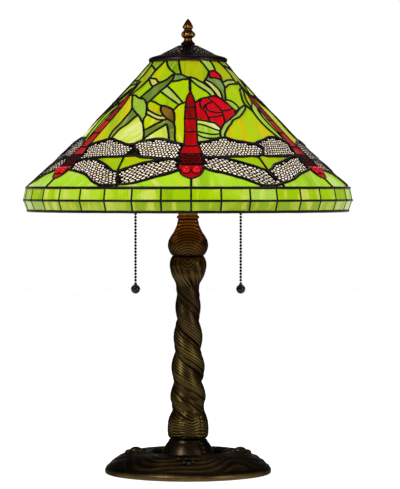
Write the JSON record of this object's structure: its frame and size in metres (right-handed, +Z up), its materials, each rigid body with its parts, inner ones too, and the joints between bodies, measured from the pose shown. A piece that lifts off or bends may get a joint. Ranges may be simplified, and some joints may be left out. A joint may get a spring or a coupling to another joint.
{
  "type": "stained glass table lamp",
  "caption": "Table lamp with a conical leaded glass shade of dragonflies, a rope-twist cast column on a round foot, and pull-chain switches under the shade.",
  "frame": {"origin": "centre of the felt under the foot, on the surface the lamp stands on", "axes": "+Z up the column, -Y towards the front, +X to the viewer's right"},
  "size_m": [0.4062, 0.4062, 0.561],
  "materials": {
    "cast_bronze": "dark bronze patina over cast metal, rubbed lighter on the ridges",
    "antique_brass": "antique brass, satin",
    "steel": "plain steel",
    "felt": "dark felt",
    "phenolic": "black moulded",
    "lead_came": "solder over copper foil with a black-brown patina",
    "green_glass": "streaky opalescent art glass, greens and creams",
    "red_glass": "ruby art glass",
    "wing_filigree": "etched brass mesh, black patina",
    "bulb_glass": "soft white"
  },
  "bodies": {
    "stand": {"base_casting": "cast_bronze", "column_casting": "cast_bronze", "vase_casting": "cast_bronze", "neck_collar": "antique_brass", "cluster_body": "antique_brass", "arm_nipple_left": "antique_brass", "arm_nipple_right": "antique_brass", "socket_cap_left": "antique_brass", "socket_cap_right": "antique_brass", "socket_shell_left": "antique_brass", "socket_shell_right": "antique_brass", "chain_bell_left": "antique_brass", "chain_bell_right": "antique_brass", "seat_nut": "antique_brass", "base_lock_nut": "antique_brass", "base_weight": "steel", "base_washer": "steel", "threaded_pipe": "steel", "riser_rod": "steel", "bulb_cap_left": "steel", "bulb_cap_right": "steel", "felt_pad": "felt", "cord_bushing": "phenolic", "socket_core_left": "phenolic", "socket_core_right": "phenolic", "bulb_glass_left": "bulb_glass", "bulb_glass_right": "bulb_glass"},
    "shade": {"shade_spider": "antique_brass", "shade_top_ring": "antique_brass", "shade_cap": "cast_bronze", "glass_panel_1": "green_glass", "glass_panel_2": "green_glass", "glass_panel_3": "green_glass", "glass_panel_4": "green_glass", "glass_panel_5": "green_glass", "glass_panel_6": "green_glass", "dragonfly_body_1": "red_glass", "dragonfly_body_2": "red_glass", "dragonfly_body_3": "red_glass", "dragonfly_body_4": "red_glass", "dragonfly_body_5": "red_glass", "dragonfly_body_6": "red_glass", "wing_filigree_1": "wing_filigree", "wing_filigree_2": "wing_filigree", "wing_filigree_3": "wing_filigree", "wing_filigree_4": "wing_filigree", "wing_filigree_5": "wing_filigree", "wing_filigree_6": "wing_filigree", "border_tiles_upper": "green_glass", "border_tiles_lower": "green_glass", "field_came": "lead_came", "girth_came": "lead_came", "rim_came": "lead_came"},
    "finial": {"finial": "antique_brass"},
    "switch_left": {"pull_link_left": "antique_brass"},
    "chain_left": {"pull_chain_left": "antique_brass", "chain_ball_left": "cast_bronze"},
    "switch_right": {"pull_link_right": "antique_brass"},
    "chain_right": {"pull_chain_right": "antique_brass", "chain_ball_right": "cast_bronze"}
  },
  "joints": [
    {"name": "shade_turn", "type": "hinge", "parent": "stand", "child": "shade", "pos_m": [0, 0, 0.502], "axis": [0, 0, 1], "continuous": true},
    {"name": "finial_turn", "type": "hinge", "parent": "stand", "child": "finial", "pos_m": [0, 0, 0.53], "axis": [0, 0, 1], "continuous": true},
    {"name": "pull_left", "type": "slide", "parent": "stand", "child": "switch_left", "axis": [0, 0, -1], "range_m": [0, 0.008], "stiffness_N_per_m": 200, "springref_m": -0.002},
    {"name": "swing_left", "type": "hinge", "parent": "switch_left", "child": "chain_left", "pos_m": [-0.065, 0, 0.33035], "axis": [0, -1, 0], "range_deg": [-30, 15]},
    {"name": "pull_right", "type": "slide", "parent": "stand", "child": "switch_right", "axis": [0, 0, -1], "range_m": [0, 0.008], "stiffness_N_per_m": 200, "springref_m": -0.002},
    {"name": "swing_right", "type": "hinge", "parent": "switch_right", "child": "chain_right", "pos_m": [0.065, 0, 0.33035], "axis": [0, 1, 0], "range_deg": [-30, 15]}
  ]
}
